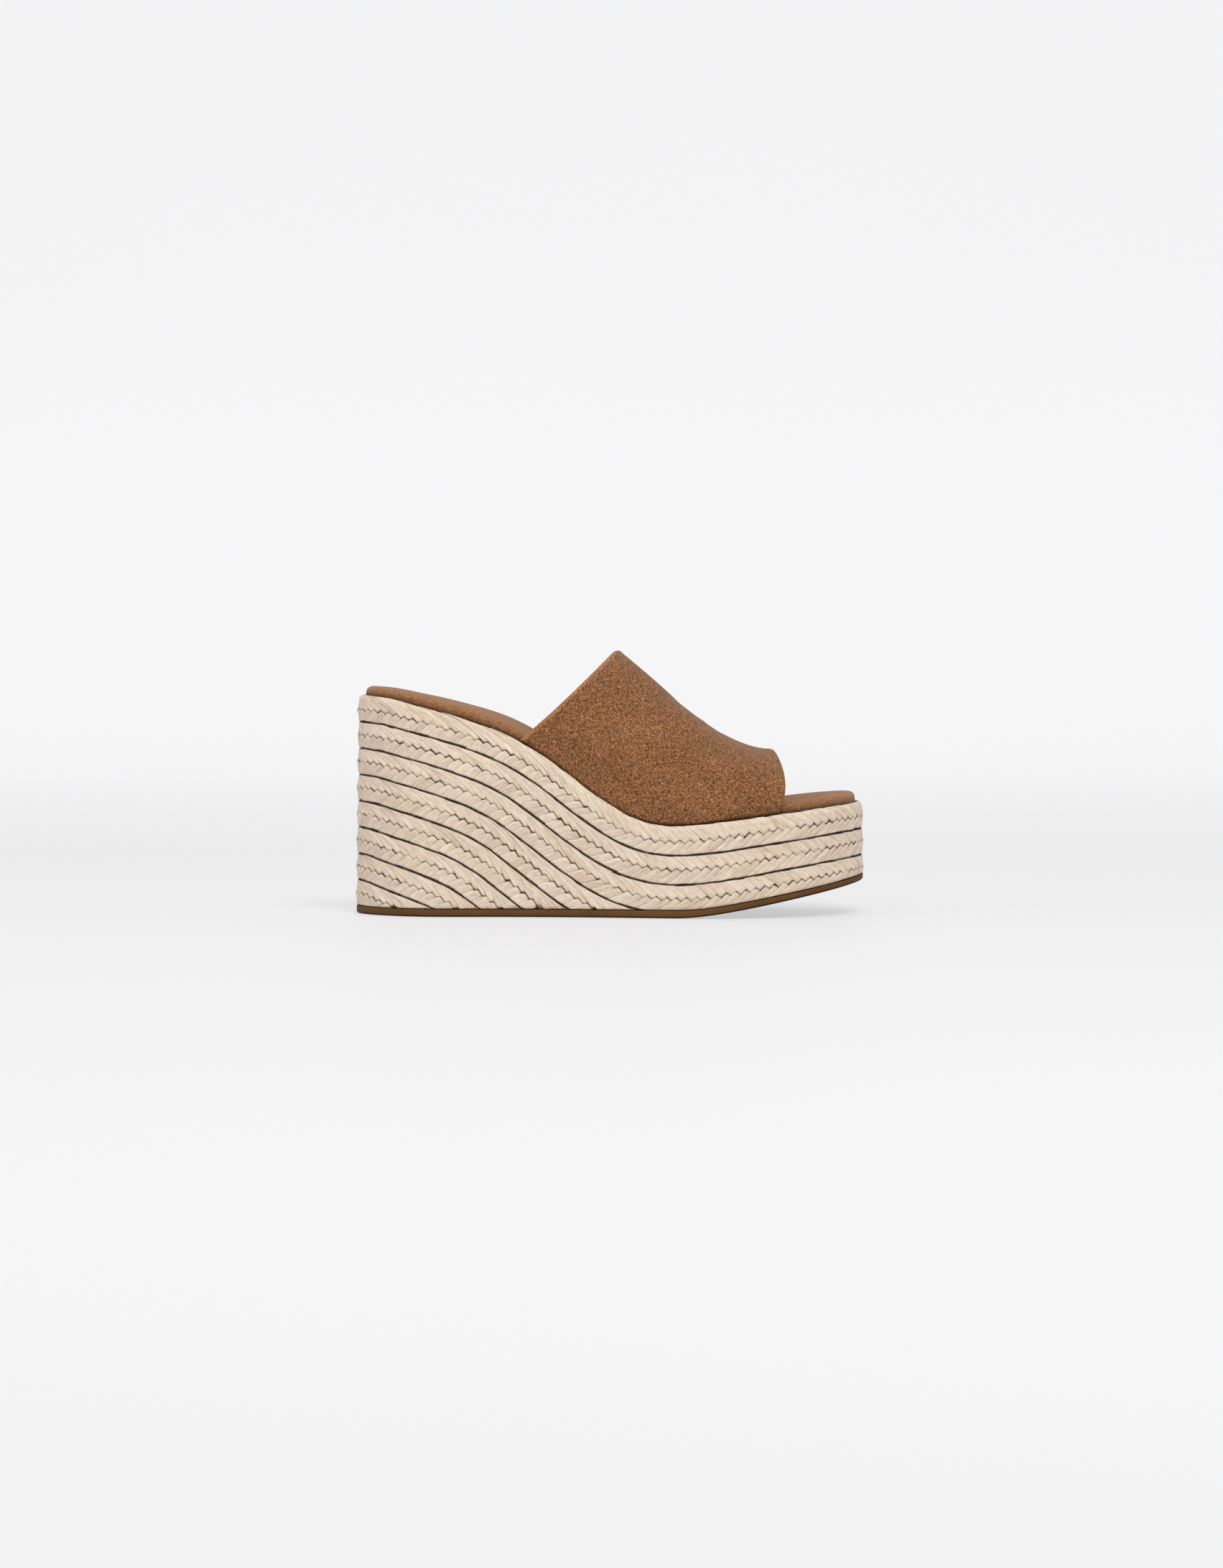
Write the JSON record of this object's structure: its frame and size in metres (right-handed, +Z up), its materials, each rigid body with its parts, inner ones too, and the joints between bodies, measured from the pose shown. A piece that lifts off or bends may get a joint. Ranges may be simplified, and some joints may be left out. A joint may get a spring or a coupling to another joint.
{
  "type": "wedge slide shoe",
  "caption": "Open wedge slide: a broad suede band over a padded footbed, on a high platform wedge wrapped in rows of braided jute, with a thin rubber outsole.",
  "frame": {"origin": "on the floor, under the middle of the shoe's length and width", "axes": "+X to the toe, +Y to the inner side of the foot, +Z up; it is a right shoe"},
  "size_m": [0.2429, 0.0885, 0.1253],
  "materials": {
    "jute": "natural jute fibre, combed and braided, matt with a few loose hairs",
    "band_suede": "tan-brown suede with a short nap, turned edges",
    "footbed_suede": "the same suede, drawn over a soft pad",
    "outsole_rubber": "matt brown rubber",
    "core_foam": "light midsole foam, hidden under the wrap"
  },
  "bodies": {
    "root": {"outsole": "outsole_rubber", "wedge_core": "core_foam", "braid_row_1": "jute", "braid_row_2": "jute", "braid_row_3": "jute", "braid_row_4": "jute", "braid_row_5": "jute", "braid_row_6": "jute", "braid_row_7": "jute", "braid_row_8": "jute", "insole": "footbed_suede", "upper": "band_suede"}
  },
  "joints": []
}
